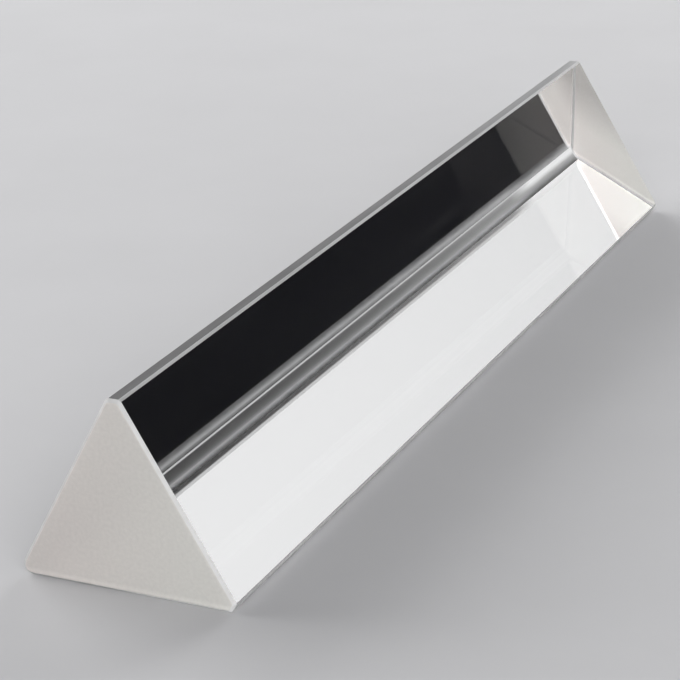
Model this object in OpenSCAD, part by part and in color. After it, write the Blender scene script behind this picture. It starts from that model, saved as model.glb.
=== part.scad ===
// Bare optical prism: one bar of clear glass with an equilateral section.
// The bar lies on its base, with its length along Y and its refracting edge on top.
// The origin is on the base, under that edge, half-way along the bar.
// The long faces are polished; the ends, the edge flats and the arrises are ground.

/* [Bar] */
// Length between the two ground ends
bar_length = 150; // [60:1:300]
// Width of the two sloping faces, measured to their sharp corners
face_width = 30; // [15:0.5:60]
// Angle between the two sloping faces at the refracting edge
apex_angle = 60; // [45:1:90]

/* [Edge flats] */
// Width of the flat ground along the top edge
top_flat = 1.8; // [0.4:0.1:4]
// Width of the flat ground along the bottom left edge
left_flat = 1.6; // [0.4:0.1:4]
// Width of the flat ground along the bottom right edge
right_flat = 1.4; // [0.4:0.1:4]

/* [End arrises] */
// Leg of the arris ground round the end at the front, towards -Y
front_arris = 0.45; // [0.1:0.05:1.5]
// Leg of the arris ground round the end at the back, towards +Y
back_arris = 0.45; // [0.1:0.05:1.5]

/* [Hidden] */

// Angle of a ground arris to both of the faces that it joins
arris_angle = 45;
// Colour of the glass seen in thickness, with its opacity
glass_colour = [0.85, 0.89, 0.88, 0.45];

base_width = 2 * face_width * sin(apex_angle / 2);
bar_height = face_width * cos(apex_angle / 2);
base_angle = (180 - apex_angle) / 2;
// Side of a grinding block that reaches past the bar from any of its edges
grind_reach = 2 * (face_width + base_width);

// The sharp corners in order round the section, each with its angle and the flat ground there
sharp_corners = [[-base_width / 2, 0], [base_width / 2, 0], [0, bar_height]];
corner_angles = [base_angle, base_angle, apex_angle];
corner_flats = [left_flat, right_flat, top_flat];

// Unit vector from one point of the section to another
function heading(from, to) = (to - from) / norm(to - from);

// How far from a sharp corner its flat meets the faces on both sides
function flat_setback(width, angle) = width / 2 / sin(angle / 2);

// Outline of the section with the flat ground on each corner, counter-clockwise
function section_outline() = [
    for (i = [0:2])
        let (corner = sharp_corners[i])
        let (before = sharp_corners[(i + 2) % 3])
        let (after = sharp_corners[(i + 1) % 3])
        let (setback = flat_setback(corner_flats[i], corner_angles[i]))
        each [
            corner + setback * heading(corner, before),
            corner + setback * heading(corner, after)
        ]
];

// The sawn bar with its three long edges ground, standing on end along Z
module edged_bar() {
    linear_extrude(bar_length, center = true) polygon(section_outline());
}

// Block that grinds the arris between the upper end and the side that runs from one point to the next
module arris_block(from, to, leg) {
    side = to - from;
    middle = (from + to) / 2;
    translate([middle.x, middle.y, bar_length / 2])
        rotate([0, 0, atan2(side.y, side.x)])
        rotate([arris_angle, 0, 0])
        translate([-grind_reach / 2, -grind_reach / 2, -leg * cos(arris_angle)])
        cube(grind_reach);
}

// Blocks that grind the arris all the way round the upper end
module end_arris(leg) {
    outline = section_outline();
    count = len(outline);
    for (i = [0:count - 1])
        arris_block(outline[i], outline[(i + 1) % count], leg);
}

module glass_prism() {
    color(glass_colour)
        rotate([90, 0, 0])
        difference() {
            edged_bar();
            end_arris(front_arris);
            mirror([0, 0, 1]) end_arris(back_arris);
        }
}

glass_prism();
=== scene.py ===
"""Dress the glass prism: the bar of optical glass, the studio stage and the camera."""

import math

import bmesh
import bpy
from mathutils import Matrix, Vector


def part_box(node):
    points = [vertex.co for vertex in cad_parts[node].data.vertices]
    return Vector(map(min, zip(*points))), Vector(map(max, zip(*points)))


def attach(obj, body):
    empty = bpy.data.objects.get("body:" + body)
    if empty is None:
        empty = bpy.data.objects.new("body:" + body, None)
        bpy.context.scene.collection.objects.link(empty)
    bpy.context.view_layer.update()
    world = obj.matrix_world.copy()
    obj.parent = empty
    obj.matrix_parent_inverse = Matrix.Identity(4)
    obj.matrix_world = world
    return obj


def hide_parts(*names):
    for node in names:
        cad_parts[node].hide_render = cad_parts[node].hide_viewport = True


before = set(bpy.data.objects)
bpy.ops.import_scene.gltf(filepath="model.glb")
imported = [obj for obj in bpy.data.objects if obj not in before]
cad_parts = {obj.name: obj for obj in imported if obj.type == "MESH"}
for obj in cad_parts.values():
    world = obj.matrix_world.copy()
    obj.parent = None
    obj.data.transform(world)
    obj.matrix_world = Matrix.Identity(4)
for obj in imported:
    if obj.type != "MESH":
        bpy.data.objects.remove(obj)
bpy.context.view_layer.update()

bl_info = {
    "name": "Glass Prism",
    "version": (1, 0, 0),
    "blender": (4, 5, 0),
    "location": "3D View > Sidebar > Prism",
    "description": "Models a bare prism of optical glass with frosted ends and ground edges",
    "category": "Object",
}

NODE = "glass_prism"
BODY = "root"

BAR_LOW, BAR_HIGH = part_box(NODE)

MM = 0.001

# Material slots of the bar
POLISHED, TOP_FLAT, RIGHT_FLAT, SHOULDER, ROUND, FRONT_END, BACK_END, FRONT_ARRIS, BACK_ARRIS = range(9)
SIDES = {POLISHED, TOP_FLAT, RIGHT_FLAT, SHOULDER, ROUND}
ENDS = {FRONT_END, BACK_END}
ARRISES = {FRONT_ARRIS, BACK_ARRIS}


class PrismSizes(bpy.types.PropertyGroup):
    """Sizes of the bar and of its ground edges."""

    bar_length: bpy.props.FloatProperty(
        name="Bar Length",
        description="Distance between the two ground ends",
        default=BAR_HIGH.y - BAR_LOW.y,
        unit="LENGTH",
    )
    face_width: bpy.props.FloatProperty(
        name="Face Width",
        description="Width of each long face, measured to the sharp corners",
        default=30 * MM,
        unit="LENGTH",
    )
    top_flat: bpy.props.FloatProperty(
        name="Top Flat",
        description="Width of the flat ground along the top edge",
        default=1.8 * MM,
        unit="LENGTH",
    )
    top_shoulder: bpy.props.FloatProperty(
        name="Top Shoulder",
        description="How far both sides of the top flat are rounded off",
        default=0.25 * MM,
        unit="LENGTH",
    )
    right_flat: bpy.props.FloatProperty(
        name="Right Flat",
        description="Width of the flat ground along the bottom right edge",
        default=1.4 * MM,
        unit="LENGTH",
    )
    right_shoulder: bpy.props.FloatProperty(
        name="Right Shoulder",
        description="How far both sides of the right flat are rounded off",
        default=0.1 * MM,
        unit="LENGTH",
    )
    left_radius: bpy.props.FloatProperty(
        name="Left Radius",
        description="Radius of the rounding worn along the bottom left edge",
        default=1.4 * MM,
        unit="LENGTH",
    )
    end_arris: bpy.props.FloatProperty(
        name="End Arris",
        description="Leg of the arris ground round each end",
        default=0.45 * MM,
        unit="LENGTH",
    )
    arris_round: bpy.props.FloatProperty(
        name="Arris Round",
        description="How far an arris is rounded off where it meets the end",
        default=0.15 * MM,
        unit="LENGTH",
    )
    side_round: bpy.props.FloatProperty(
        name="Side Round",
        description="How far an arris is rounded off where it meets the long faces",
        default=0.05 * MM,
        unit="LENGTH",
    )


class PrismGlass(bpy.types.PropertyGroup):
    """Colours of the polished and the ground glass."""

    clear_tint: bpy.props.FloatVectorProperty(
        name="Clear Tint",
        description="Colour of the polished glass",
        default=(0.99, 0.995, 0.993),
        subtype="COLOR",
        min=0.0,
        max=1.0,
    )
    ground_colour: bpy.props.FloatVectorProperty(
        name="Ground Colour",
        description="Colour of the frosted ends on their left side",
        default=(0.93, 0.875, 0.836),
        subtype="COLOR",
        min=0.0,
        max=1.0,
    )
    ground_neutral: bpy.props.FloatVectorProperty(
        name="Ground Neutral",
        description="Colour of the frosted ends on their right side",
        default=(0.93, 0.914, 0.866),
        subtype="COLOR",
        min=0.0,
        max=1.0,
    )
    arris_colour: bpy.props.FloatVectorProperty(
        name="Arris Colour",
        description="Colour of the coarser ground arrises",
        default=(0.97, 0.965, 0.95),
        subtype="COLOR",
        min=0.0,
        max=1.0,
    )
    edge_colour: bpy.props.FloatVectorProperty(
        name="Edge Colour",
        description="Colour of the ground bottom edges",
        default=(0.85, 0.85, 0.85),
        subtype="COLOR",
        min=0.0,
        max=1.0,
    )
    # Painted shade: the top flat gets a dark grey that stands in for shade, darker than its ground glass
    # would be
    shaded_flat_colour: bpy.props.FloatVectorProperty(
        name="Flat Colour",
        description="Colour of the fine-ground top flat",
        default=(0.17, 0.17, 0.172),
        subtype="COLOR",
        min=0.0,
        max=1.0,
    )
    shoulder_colour: bpy.props.FloatVectorProperty(
        name="Shoulder Colour",
        description="Colour of the worn sides of the flats",
        default=(0.66, 0.66, 0.662),
        subtype="COLOR",
        min=0.0,
        max=1.0,
    )


class PrismStage(bpy.types.PropertyGroup):
    """Colours of the floor and of the room."""

    floor_colour: bpy.props.FloatVectorProperty(
        name="Floor Colour",
        description="Colour of the floor",
        default=(0.58, 0.58, 0.59),
        subtype="COLOR",
        min=0.0,
        max=1.0,
    )
    world_colour: bpy.props.FloatVectorProperty(
        name="World Colour",
        description="Colour of the room round the stage",
        default=(0.02, 0.0195, 0.026),
        subtype="COLOR",
        min=0.0,
        max=1.0,
    )


GLASS_IOR = 1.517
FROST_ROUGHNESS = 0.6
PAPER_ROUGHNESS = 0.9

# Specular level of a shader as Blender sets it, and of a surface that has lost its gloss
PLAIN_GLOSS = 0.5
DULL_GLOSS = 0.15

# Most of a noise lies between these two values
NOISE_LOW = 0.3
NOISE_HIGH = 0.7

# Stretch of a pattern that is alike in all directions, and of one that is drawn out along the bar
EVEN = (1.0, 1.0, 1.0)
ALONG = (1.0, 0.08, 1.0)

# Depth of the change in colour over a finish, and its scale per metre
FLAT_MOTTLE = (0.12, 900.0)
SHOULDER_MOTTLE = (0.1, 700.0)
ROUND_MOTTLE = (0.08, 900.0)
ARRIS_MOTTLE = (0.06, 500.0)
PAPER_MOTTLE = (0.015, 40.0)
MOTTLE_DETAIL = 6.0

# Scale per metre of the relief on a finish, and its strength
END_GRAIN = (6000.0, 0.25)
ARRIS_GRAIN = (5000.0, 0.25)
EDGE_GRAIN = (3000.0, 0.2)
PAPER_GRAIN = (2500.0, 0.1)
GRAIN_DETAIL = 2.0
GRAIN_DEPTH = 0.02 * MM

# Smears and specks of dust on the polished faces: scale per metre, and how rough they are
SMEAR_SCALE = 90.0
SMEAR_DETAIL = 3.0
SMEAR_ROUGHNESS = 0.01
DUST_SCALE = 260.0
DUST_ROUGHNESS = 0.22

# Speckle of the frosted ends: scale per metre, and how much lighter or darker it is
SPECKLE_SCALE = 2200.0
SPECKLE_DETAIL = 3.0
SPECKLE_DEPTH = 0.03

# Heights between which an end's painted light changes from its level low down to its level at the top, as
# shares of the section's height
END_LOWER = 0.3
END_UPPER = 0.7

# Heights above the base at which an end's painted highlight along the base is full, and at which it has
# faded
RIM_HIGHLIGHT_FULL = 0.7 * MM
RIM_HIGHLIGHT_FADED = 1.2 * MM

# How far to both sides of the middle the hue of an end changes, as a share of the face width
HUE_REACH = 0.27

# How light the front arris is on its left side, where it has painted shade, as a share of its right side,
# and how far to both sides of the middle it changes, as a share of the face width
LEFT_ARRIS_SHADE_LEVEL = 0.66
LEFT_ARRIS_REACH = 0.1

# How light the back arris is inside, away from the base, as a share of its colour next to the base, where
# it has a painted highlight, and how high above the base it has changed, as a multiple of its leg
BACK_ARRIS_HIGHLIGHT_LEVEL = 0.35
BACK_ARRIS_REACH = 3

# Directions from the middle of the rounding to its upper and its lower border, in degrees
ROUND_TOP = 30
ROUND_BOTTOM = -90

# Places from the upper to the lower border of the rounding, and the painted light and shade of its inner
# colour there:
# in front, towards the back and next to the back end
ROUND_PAINTED_LIGHT = (
    (0.0, 0.52, 0.5, 0.72),
    (0.12, 0.52, 0.5, 0.72),
    (0.16, 0.055, 0.4, 0.72),
    (0.2, 0.045, 0.4, 0.75),
    (0.31, 0.05, 0.38, 0.78),
    (0.415, 0.065, 0.4, 0.7),
    (0.5, 0.1, 0.48, 0.56),
    (0.57, 0.17, 0.65, 0.55),
    (0.64, 0.38, 0.9, 0.58),
    (0.71, 0.9, 1.0, 0.62),
    (1.0, 0.95, 1.0, 0.62),
)

# Where the painted light next to the back end sets in and is full, as shares of half the length
LAST_PAINTED_START = 0.64
LAST_PAINTED_FULL = 0.75


def section_height(sizes):
    """Height of the section up to its sharp top corner."""
    return sizes.face_width * math.sqrt(3) / 2


def round_setback(sizes):
    """How far from the sharp bottom left corner its rounding meets the faces on both sides."""
    return sizes.left_radius * math.sqrt(3)


def new_material(name):
    """A new material with an empty node tree."""
    material = bpy.data.materials.new(name)
    material.use_nodes = True
    material.node_tree.nodes.clear()
    return material


def object_point(tree, stretch=EVEN):
    """Object coordinates, scaled along each axis."""
    source = tree.nodes.new("ShaderNodeTexCoord")
    mapping = tree.nodes.new("ShaderNodeMapping")
    mapping.inputs["Scale"].default_value = stretch
    tree.links.new(source.outputs["Object"], mapping.inputs["Vector"])
    return mapping.outputs["Vector"]


def object_axis(tree, axis):
    """One of the object coordinates."""
    split = tree.nodes.new("ShaderNodeSeparateXYZ")
    tree.links.new(object_point(tree), split.inputs["Vector"])
    return split.outputs[axis]


def noise(tree, scale, detail, stretch=EVEN):
    """Noise over the object, about 0.5 on average."""
    texture = tree.nodes.new("ShaderNodeTexNoise")
    texture.inputs["Scale"].default_value = scale
    texture.inputs["Detail"].default_value = detail
    tree.links.new(object_point(tree, stretch), texture.inputs["Vector"])
    return texture.outputs["Fac"]


def mapped(tree, value, start, end, low, high):
    """A value that goes from low at start to high at end, and stays there."""
    node = tree.nodes.new("ShaderNodeMapRange")
    tree.links.new(value, node.inputs["Value"])
    node.inputs["From Min"].default_value = start
    node.inputs["From Max"].default_value = end
    node.inputs["To Min"].default_value = low
    node.inputs["To Max"].default_value = high
    return node.outputs["Result"]


def maths(tree, operation, first, second):
    """One operation on two values, each a socket or a number."""
    node = tree.nodes.new("ShaderNodeMath")
    node.operation = operation
    for socket, value in zip(node.inputs, (first, second)):
        if isinstance(value, bpy.types.NodeSocket):
            tree.links.new(value, socket)
        else:
            socket.default_value = value
    return node.outputs["Value"]


def toned(tree, factor, stops):
    """A colour ramp with the given places and colours."""
    node = tree.nodes.new("ShaderNodeValToRGB")
    elements = node.color_ramp.elements
    while len(elements) < len(stops):
        elements.new(0.5)
    for element, (place, colour) in zip(elements, stops):
        element.position = place
        element.color = (*colour, 1.0)
    tree.links.new(factor, node.inputs["Fac"])
    return node.outputs["Color"]


def scaled(tree, colour, level):
    """A colour multiplied by a value."""
    node = tree.nodes.new("ShaderNodeVectorMath")
    node.operation = "SCALE"
    tree.links.new(colour, node.inputs["Vector"])
    tree.links.new(level, node.inputs["Scale"])
    return node.outputs["Vector"]


def mixed(tree, factor, first, second):
    """A colour that turns into another one as the factor goes from 0 to 1."""
    node = tree.nodes.new("ShaderNodeMixRGB")
    tree.links.new(factor, node.inputs["Fac"])
    tree.links.new(first, node.inputs["Color1"])
    tree.links.new(second, node.inputs["Color2"])
    return node.outputs["Color"]


def grey(level):
    """A grey of this level."""
    return (level, level, level)


def shade(colour, level):
    """A colour made darker or lighter, but no lighter than white."""
    return tuple(min(1.0, c * level) for c in colour)


def mottled(tree, colour, depth, scale, stretch=EVEN):
    """A colour that varies a little over the object."""
    cloud = noise(tree, scale, MOTTLE_DETAIL, stretch)
    stops = ((NOISE_LOW, shade(colour, 1 - depth)), (NOISE_HIGH, shade(colour, 1 + depth)))
    return toned(tree, cloud, stops)


def grain(tree, scale, strength, stretch=EVEN):
    """Fine relief of a surface."""
    bump = tree.nodes.new("ShaderNodeBump")
    bump.inputs["Strength"].default_value = strength
    bump.inputs["Distance"].default_value = GRAIN_DEPTH
    tree.links.new(noise(tree, scale, GRAIN_DETAIL, stretch), bump.inputs["Height"])
    return bump.outputs["Normal"]


def towards_back(tree, sizes):
    """A value that grows from 0 at the front end to 1 at the back end, slowly at first."""
    half = sizes.bar_length / 2
    along = mapped(tree, object_axis(tree, "Y"), -half, half, low=0.0, high=1.0)
    return maths(tree, "MULTIPLY", along, along)


def finish(tree, shader):
    """Sends a shader to the material's output."""
    output = tree.nodes.new("ShaderNodeOutputMaterial")
    tree.links.new(shader, output.inputs["Surface"])


def glass_shader(tree, clear_share, gloss=PLAIN_GLOSS):
    """A glass shader, clear_share of which lets light through."""
    shader = tree.nodes.new("ShaderNodeBsdfPrincipled")
    shader.inputs["Specular IOR Level"].default_value = gloss
    shader.inputs["IOR"].default_value = GLASS_IOR
    shader.inputs["Transmission Weight"].default_value = clear_share
    return shader


def frosted(tree, colour, inner, normal, glow, clear_share=0.0, gloss=PLAIN_GLOSS):
    """Ground glass: a dull surface that also glows in its inner colour with the light behind it."""
    shader = glass_shader(tree, clear_share, gloss)
    shader.inputs["Roughness"].default_value = FROST_ROUGHNESS
    glowing = tree.nodes.new("ShaderNodeBsdfTranslucent")
    mix = tree.nodes.new("ShaderNodeMixShader")
    mix.inputs["Fac"].default_value = glow
    tree.links.new(colour, shader.inputs["Base Color"])
    tree.links.new(inner, glowing.inputs["Color"])
    tree.links.new(normal, shader.inputs["Normal"])
    tree.links.new(normal, glowing.inputs["Normal"])
    tree.links.new(shader.outputs["BSDF"], mix.inputs[1])
    tree.links.new(glowing.outputs["BSDF"], mix.inputs[2])
    finish(tree, mix.outputs["Shader"])


def polished_glass(look):
    """Clear optical glass with faint smears and a few specks of dust."""
    material = new_material("polished_glass")
    tree = material.node_tree
    shader = glass_shader(tree, clear_share=1.0)
    shader.inputs["Base Color"].default_value = (*look.clear_tint, 1.0)
    cloud = noise(tree, SMEAR_SCALE, SMEAR_DETAIL)
    smear = mapped(tree, cloud, start=0.5, end=0.75, low=0.0, high=SMEAR_ROUGHNESS)
    cells = tree.nodes.new("ShaderNodeTexVoronoi")
    cells.inputs["Scale"].default_value = DUST_SCALE
    tree.links.new(object_point(tree), cells.inputs["Vector"])
    pick = tree.nodes.new("ShaderNodeSeparateColor")
    tree.links.new(cells.outputs["Color"], pick.inputs["Color"])
    dusty = mapped(tree, pick.outputs["Red"], start=0.6, end=0.9, low=0.0, high=DUST_ROUGHNESS)
    speck = mapped(tree, cells.outputs["Distance"], start=0.02, end=0.05, low=1.0, high=0.0)
    rough = maths(tree, "ADD", smear, maths(tree, "MULTIPLY", dusty, speck))
    tree.links.new(rough, shader.inputs["Roughness"])
    finish(tree, shader.outputs["BSDF"])
    return material


def edge_flat(name, base, sizes, painted_back_level):
    """A flat along one of the long edges, with its colour at the back as a share of that in front: painted
    light where the share is above one.
    """
    material = new_material(name)
    tree = material.node_tree
    # Painted light: the colour is scaled along the bar from the front to the back level
    level = mapped(tree, towards_back(tree, sizes), start=0.0, end=1.0, low=1.0, high=painted_back_level)
    colour = scaled(tree, mottled(tree, base, *FLAT_MOTTLE, ALONG), level)
    frosted(tree, colour, colour, grain(tree, *EDGE_GRAIN, ALONG), glow=0.2, gloss=DULL_GLOSS)
    return material


def edge_shoulders(look):
    """The worn sides of the flats."""
    material = new_material("edge_shoulders")
    tree = material.node_tree
    colour = mottled(tree, look.shoulder_colour, *SHOULDER_MOTTLE, ALONG)
    frosted(tree, colour, colour, grain(tree, *EDGE_GRAIN, ALONG), glow=0.3, gloss=DULL_GLOSS)
    return material


def rounded_edge(look, sizes):
    """The rounding along the bottom left edge, with painted light and shade in its inner colour from the
    upper to the lower border.
    """
    material = new_material("rounded_edge")
    tree = material.node_tree
    middle_x = -sizes.face_width / 2 + round_setback(sizes)
    across = maths(tree, "SUBTRACT", middle_x, object_axis(tree, "X"))
    up = maths(tree, "SUBTRACT", object_axis(tree, "Z"), sizes.left_radius)
    angle = maths(tree, "ARCTAN2", up, across)
    place = mapped(tree, angle, math.radians(ROUND_TOP), math.radians(ROUND_BOTTOM), low=0.0, high=1.0)
    places, *columns = zip(*ROUND_PAINTED_LIGHT)
    ramps = [toned(tree, place, list(zip(places, map(grey, levels)))) for levels in columns]
    in_front, further_back, last = ramps
    half = sizes.bar_length / 2
    start, end = LAST_PAINTED_START * half, LAST_PAINTED_FULL * half
    next_to_end = mapped(tree, object_axis(tree, "Y"), start, end, low=0.0, high=1.0)
    # Painted light and shade: the tones change from the front towards the back end
    painted_tone = mixed(tree, towards_back(tree, sizes), in_front, further_back)
    inner = mixed(tree, next_to_end, painted_tone, last)
    colour = mottled(tree, look.edge_colour, *ROUND_MOTTLE, ALONG)
    frosted(tree, colour, inner, grain(tree, *EDGE_GRAIN, ALONG), glow=0.85)
    return material


def ground_end(name, look, sizes, low, high, rim_highlight, glow, clear_share):
    """A frosted end: how light it is painted low down and at the top, and how much lighter a painted
    highlight makes it next to the base.
    """
    material = new_material(name)
    tree = material.node_tree
    height = section_height(sizes)
    up = object_axis(tree, "Z")
    # Painted light and shade by height, and a painted highlight along the base
    painted_height_light = mapped(tree, up, END_LOWER * height, END_UPPER * height, low, high)
    painted_rim = mapped(tree, up, RIM_HIGHLIGHT_FULL, RIM_HIGHLIGHT_FADED, low=rim_highlight, high=0.0)
    fine = noise(tree, SPECKLE_SCALE, SPECKLE_DETAIL)
    speckle = mapped(tree, fine, NOISE_LOW, NOISE_HIGH, -SPECKLE_DEPTH, SPECKLE_DEPTH)
    level = maths(tree, "ADD", maths(tree, "ADD", painted_height_light, painted_rim), speckle)
    reach = HUE_REACH * sizes.face_width
    across = mapped(tree, object_axis(tree, "X"), -reach, reach, low=0.0, high=1.0)
    hue = toned(tree, across, ((0.0, look.ground_colour), (1.0, look.ground_neutral)))
    colour = scaled(tree, hue, level)
    frosted(tree, colour, colour, grain(tree, *END_GRAIN), glow, clear_share)
    return material


def front_arris(look, sizes):
    """The arris round the front end, with painted shade on its left side."""
    material = new_material("front_arris")
    tree = material.node_tree
    reach = LEFT_ARRIS_REACH * sizes.face_width
    # Painted shade: the left side of the arris is darkened
    painted_side_shade = mapped(tree, object_axis(tree, "X"), -reach, reach, low=LEFT_ARRIS_SHADE_LEVEL, high=1.0)
    colour = scaled(tree, mottled(tree, look.arris_colour, *ARRIS_MOTTLE), painted_side_shade)
    frosted(tree, colour, colour, grain(tree, *ARRIS_GRAIN), glow=0.25)
    return material


def back_arris(look, sizes):
    """The arris round the back end, partly clear, with a painted highlight inside next to the base."""
    material = new_material("back_arris")
    tree = material.node_tree
    leg = sizes.end_arris
    up = object_axis(tree, "Z")
    # Painted highlight: the inner colour is lightest next to the base and darker higher up
    level = mapped(tree, up, leg, BACK_ARRIS_REACH * leg, low=1.0, high=BACK_ARRIS_HIGHLIGHT_LEVEL)
    colour = mottled(tree, look.arris_colour, *ARRIS_MOTTLE)
    inner = scaled(tree, colour, level)
    frosted(tree, colour, inner, grain(tree, *ARRIS_GRAIN), glow=0.5, clear_share=0.6)
    return material


# Segments across the rounded forms
ROUND_SEGMENTS = 12
SHOULDER_SEGMENTS = 5
ARRIS_SEGMENTS = 4

# How much of a face's normal points along the bar: at most on a long side, at least on an end
SIDE_TILT = 0.3
END_TILT = 0.9

# Least length along the bar of an edge that counts as running along it
LEAST_RUN = 0.2 * MM

# How near a sharp corner its edge lies before grinding, and the borders of its flat, in flat widths
CORNER_REACH = 1.0 * MM
FLAT_REACH = 1.6


def sharp_bar(length, corners):
    """The bar with sharp edges, drawn out along Y from the corners of its section."""
    bm = bmesh.new()
    face = bm.faces.new([bm.verts.new((x, -length / 2, z)) for x, z in corners])
    grown = bmesh.ops.extrude_face_region(bm, geom=[face])
    moved = [v for v in grown["geom"] if isinstance(v, bmesh.types.BMVert)]
    bmesh.ops.translate(bm, verts=moved, vec=(0, length, 0))
    bmesh.ops.recalc_face_normals(bm, faces=bm.faces)
    return bm


def bevel_edges(bm, edges, width, kind, segments):
    """Bevels some edges and returns the new faces."""
    made = bmesh.ops.bevel(
        bm,
        geom=edges,
        offset=width,
        offset_type=kind,
        segments=segments,
        profile=0.5,
        affect="EDGES",
        material=-1,
    )
    bm.normal_update()
    return made["faces"]


def corner_edges(bm, corner, reach):
    """The edges along the bar that lie within reach of a corner of the section."""
    x, z = corner
    spot = Vector((x, 0.0, z))
    found = []
    for e in bm.edges:
        middle = (e.verts[0].co + e.verts[1].co) / 2
        run = abs(e.verts[0].co.y - e.verts[1].co.y)
        if run > LEAST_RUN and (Vector((middle.x, 0.0, middle.z)) - spot).length < reach:
            found.append(e)
    return found


def border_edges(bm, first, second):
    """The edges between faces with one of the first slots and faces with one of the second."""
    found = []
    for e in bm.edges:
        slots = {f.material_index for f in e.link_faces}
        if slots & first and slots & second:
            found.append(e)
    return found


def fix_order(bm):
    """Puts the faces in the same order on every run, which bevels alone don't give."""
    bm.verts.index_update()
    count = len(bm.verts)

    def rank(face):
        start = min(face.loops, key=lambda loop: loop.vert.index)
        return start.vert.index * count + start.link_loop_next.vert.index

    bm.faces.sort(key=rank)


def give_slot(faces, front, back, smooth=False):
    """Gives faces the slot for the end that they are nearer to, and smooth shading where asked."""
    for f in faces:
        f.material_index = front if f.calc_center_median().y < 0 else back
        if smooth:
            f.smooth = True


class PRISM_OT_glass_bar(bpy.types.Operator):
    """Model the bar of glass with its ground edges and ends"""

    bl_idname = "prism.glass_bar"
    bl_label = "Glass Bar"

    def execute(self, context):
        sizes = context.scene.prism_sizes
        look = context.scene.prism_glass
        half = sizes.face_width / 2
        left, right, top = (-half, 0.0), (half, 0.0), (0.0, section_height(sizes))
        flats = (
            (right, sizes.right_flat, sizes.right_shoulder, RIGHT_FLAT),
            (top, sizes.top_flat, sizes.top_shoulder, TOP_FLAT),
        )
        bm = sharp_bar(sizes.bar_length, (left, right, top))

        edge = corner_edges(bm, left, CORNER_REACH)
        made = bevel_edges(bm, edge, round_setback(sizes), "OFFSET", ROUND_SEGMENTS)
        give_slot(made, ROUND, ROUND, smooth=True)
        for corner, width, _, slot in flats:
            edge = corner_edges(bm, corner, CORNER_REACH)
            give_slot(bevel_edges(bm, edge, width, "WIDTH", 1), slot, slot)

        ends = [f for f in bm.faces if abs(f.normal.y) > END_TILT]
        give_slot(ends, FRONT_END, BACK_END)
        outlines = border_edges(bm, ENDS, SIDES)
        made = bevel_edges(bm, outlines, sizes.end_arris, "OFFSET", 1)
        give_slot(made, FRONT_ARRIS, BACK_ARRIS)

        for corner, width, shoulder, _ in flats:
            borders = corner_edges(bm, corner, FLAT_REACH * width)
            made = bevel_edges(bm, borders, shoulder, "OFFSET", SHOULDER_SEGMENTS)
            give_slot(made, SHOULDER, SHOULDER, smooth=True)
            sloped = [f for f in made if SIDE_TILT < abs(f.normal.y) < END_TILT]
            give_slot(sloped, FRONT_ARRIS, BACK_ARRIS)

        borders = border_edges(bm, ARRISES, ENDS)
        made = bevel_edges(bm, borders, sizes.arris_round, "OFFSET", ARRIS_SEGMENTS)
        give_slot(made, FRONT_END, BACK_END, smooth=True)
        borders = border_edges(bm, ARRISES, SIDES)
        made = bevel_edges(bm, borders, sizes.side_round, "OFFSET", ARRIS_SEGMENTS)
        give_slot(made, FRONT_ARRIS, BACK_ARRIS, smooth=True)

        fix_order(bm)
        mesh = bpy.data.meshes.new("prism_bar")
        bm.to_mesh(mesh)
        bm.free()
        for material in (
            polished_glass(look),
            # Painted light: the top flat is painted lighter towards the back, on top of its painted shade
            edge_flat("top_flat", look.shaded_flat_colour, sizes, painted_back_level=2.4),
            edge_flat("right_flat", look.edge_colour, sizes, painted_back_level=1.0),
            edge_shoulders(look),
            rounded_edge(look, sizes),
            # The back end is painted darker at the top as painted shade; both ends get a painted highlight
            # along the base
            ground_end("front_end", look, sizes, low=0.92, high=0.92, rim_highlight=0.1, glow=0.28, clear_share=0.2),
            ground_end("back_end", look, sizes, low=0.84, high=0.52, rim_highlight=0.2, glow=0.47, clear_share=0.8),
            front_arris(look, sizes),
            back_arris(look, sizes),
        ):
            mesh.materials.append(material)
        bar = bpy.data.objects.new("prism_bar", mesh)
        context.scene.collection.objects.link(bar)
        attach(bar, BODY)
        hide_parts(NODE)
        return {"FINISHED"}


# The floor reaches this far to all sides, and lies a hair below the base, which then still reflects
FLOOR_REACH = 4.0
FLOOR_GAP = 0.02 * MM

# Each lamp's name, azimuth and elevation in degrees, distance, width and height, and brightness
LAMPS = (
    ("back_card", -25, 22, 1.2, 0.6, 0.5, 0.91),
    ("front_box", 150, 25, 2.4, 2.7, 2.1, 2.85),
    ("side_box", 45, 45, 2.4, 3.0, 2.2, 0.35),
    ("low_box", 4, 12, 2.4, 1.5, 0.8, 13.0),
    ("left_box", -75, 22, 2.4, 3.0, 1.7, 5.0),
)

# The camera, fitted to the photograph: its angles in degrees, its place and its focal length in pixels
PHOTO_SIDE = 680
CAMERA_AZIMUTH = 153.73
CAMERA_ELEVATION = 21.8
CAMERA_ROLL = 2.4
CAMERA_PLACE = (133.2 * MM, -286.2 * MM, 129.9 * MM)
CAMERA_FOCAL_PIXELS = 2405.0
CAMERA_NEAR = 10 * MM
SENSOR_WIDTH = 36.0

# How often light may bounce, enough for the reflections inside the bar
ALL_BOUNCES = 24
GLOSSY_BOUNCES = 16
CLEAR_BOUNCES = 24


def heading(azimuth, elevation):
    """Unit vector towards an azimuth, counted from +Y towards +X, and an elevation, in degrees."""
    a = math.radians(azimuth)
    e = math.radians(elevation)
    return Vector((math.sin(a) * math.cos(e), math.cos(a) * math.cos(e), math.sin(e)))


def facing(direction):
    """Rotation that points an object's -Z in a direction and keeps it upright."""
    return direction.to_track_quat("-Z", "Y")


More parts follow.
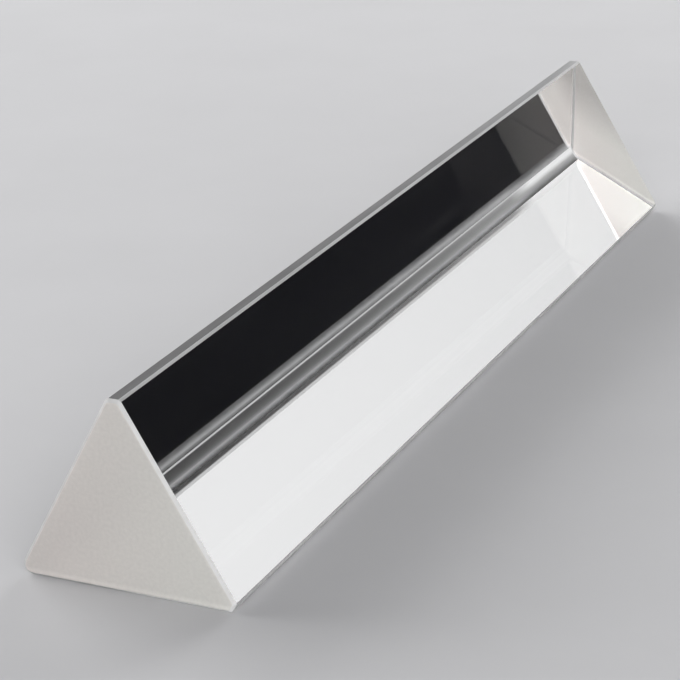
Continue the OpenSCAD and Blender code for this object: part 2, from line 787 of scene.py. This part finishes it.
def floor_paper(setup):
    """Pale matt paper."""
    material = new_material("floor_paper")
    tree = material.node_tree
    shader = tree.nodes.new("ShaderNodeBsdfPrincipled")
    shader.inputs["Roughness"].default_value = PAPER_ROUGHNESS
    tree.links.new(mottled(tree, setup.floor_colour, *PAPER_MOTTLE), shader.inputs["Base Color"])
    tree.links.new(grain(tree, *PAPER_GRAIN), shader.inputs["Normal"])
    finish(tree, shader.outputs["BSDF"])
    return material


def lay_floor(scene):
    """The paper floor under the bar."""
    bm = bmesh.new()
    bmesh.ops.create_grid(bm, x_segments=1, y_segments=1, size=FLOOR_REACH)
    bmesh.ops.translate(bm, verts=bm.verts, vec=(0, 0, -FLOOR_GAP))
    mesh = bpy.data.meshes.new("floor")
    bm.to_mesh(mesh)
    bm.free()
    mesh.materials.append(floor_paper(scene.prism_stage))
    floor = bpy.data.objects.new("floor", mesh)
    scene.collection.objects.link(floor)


def set_room(scene):
    """The dark room round the stage."""
    world = bpy.data.worlds.new("studio")
    world.use_nodes = True
    background = world.node_tree.nodes["Background"]
    background.inputs["Color"].default_value = (*scene.prism_stage.world_colour, 1.0)
    scene.world = world


def set_lamp(scene, name, azimuth, elevation, distance, width, height, level):
    """A rectangular lamp that faces the bar, level is its own brightness."""
    lamp = bpy.data.lights.new(name, "AREA")
    lamp.shape = "RECTANGLE"
    lamp.size = width
    lamp.size_y = height
    lamp.energy = level * math.pi * width * height
    place = heading(azimuth, elevation) * distance
    obj = bpy.data.objects.new(name, lamp)
    obj.location = place
    obj.rotation_euler = facing(-place).to_euler()
    obj.visible_camera = False
    scene.collection.objects.link(obj)


def set_camera(scene):
    """The camera at the photograph's viewpoint."""
    camera = bpy.data.cameras.new("photo_camera")
    camera.sensor_width = SENSOR_WIDTH
    camera.lens = CAMERA_FOCAL_PIXELS / PHOTO_SIDE * SENSOR_WIDTH
    camera.clip_start = CAMERA_NEAR
    obj = bpy.data.objects.new("photo_camera", camera)
    turn = facing(-heading(CAMERA_AZIMUTH, CAMERA_ELEVATION)).to_matrix()
    roll = Matrix.Rotation(-math.radians(CAMERA_ROLL), 3, "Z")
    obj.matrix_world = Matrix.Translation(CAMERA_PLACE) @ (turn @ roll).to_4x4()
    scene.collection.objects.link(obj)
    scene.camera = obj


class PRISM_OT_stage(bpy.types.Operator):
    """Lay the floor and set the lamps and the camera"""

    bl_idname = "prism.stage"
    bl_label = "Stage"

    def execute(self, context):
        scene = context.scene
        lay_floor(scene)
        set_room(scene)
        for lamp in LAMPS:
            set_lamp(scene, *lamp)
        set_camera(scene)
        scene.view_settings.view_transform = "Standard"
        # Light focused through the glass would brighten the floor that shows as the dark band
        scene.cycles.caustics_refractive = False
        scene.cycles.max_bounces = ALL_BOUNCES
        scene.cycles.glossy_bounces = GLOSSY_BOUNCES
        scene.cycles.transmission_bounces = CLEAR_BOUNCES
        return {"FINISHED"}


class PRISM_PT_panel(bpy.types.Panel):
    """Sidebar panel with the prism's pieces"""

    bl_idname = "PRISM_PT_panel"
    bl_label = "Glass Prism"
    bl_space_type = "VIEW_3D"
    bl_region_type = "UI"
    bl_category = "Prism"

    def draw(self, context):
        layout = self.layout
        layout.operator(PRISM_OT_glass_bar.bl_idname)
        layout.operator(PRISM_OT_stage.bl_idname)


CLASSES = (PrismSizes, PrismGlass, PrismStage, PRISM_OT_glass_bar, PRISM_OT_stage, PRISM_PT_panel)


def register():
    """Registers the classes and gives the scene their properties."""
    for cls in CLASSES:
        bpy.utils.register_class(cls)
    bpy.types.Scene.prism_sizes = bpy.props.PointerProperty(type=PrismSizes)
    bpy.types.Scene.prism_glass = bpy.props.PointerProperty(type=PrismGlass)
    bpy.types.Scene.prism_stage = bpy.props.PointerProperty(type=PrismStage)


def unregister():
    """Takes back what register did."""
    del bpy.types.Scene.prism_stage
    del bpy.types.Scene.prism_glass
    del bpy.types.Scene.prism_sizes
    for cls in reversed(CLASSES):
        bpy.utils.unregister_class(cls)


def main():
    """Makes the prism and its stage."""
    register()
    bpy.ops.prism.glass_bar()
    bpy.ops.prism.stage()


if __name__ == "__main__":
    main()
